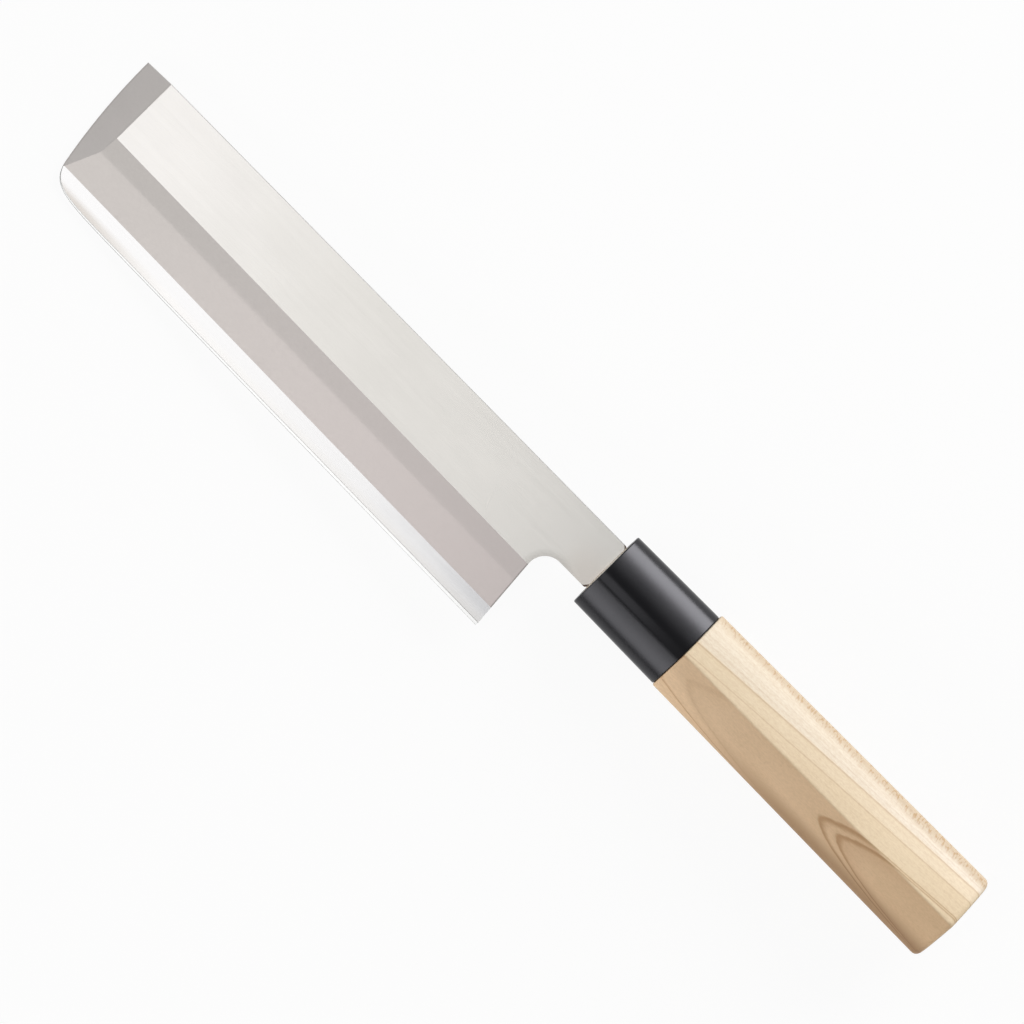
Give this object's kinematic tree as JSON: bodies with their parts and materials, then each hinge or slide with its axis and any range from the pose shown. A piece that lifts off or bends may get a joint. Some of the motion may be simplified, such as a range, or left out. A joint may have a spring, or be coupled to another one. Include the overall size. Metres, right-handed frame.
{
  "type": "usuba knife",
  "caption": "Usuba kitchen knife for slicing vegetables: tall thin blade ground on one face with a square tip, black plastic ferrule and pale ridged wooden handle.",
  "frame": {"origin": "middle of the underside of the box round the whole knife, lying on its back", "axes": "+X from the tip to the butt, +Y from the cutting edge to the spine, +Z out of the ground face"},
  "size_m": [0.3074, 0.0484, 0.021],
  "materials": {
    "blade_steel": "satin ground stainless steel, polished along the cutting edge",
    "ferrule_plastic": "moulded black plastic with a soft gloss",
    "handle_wood": "sanded pale wood with fine straight grain, unvarnished",
    "adhesive": "cured brown adhesive, slightly glossy"
  },
  "bodies": {
    "root": {"blade": "blade_steel", "ferrule": "ferrule_plastic", "handle": "handle_wood", "tang_adhesive": "adhesive"}
  },
  "joints": []
}
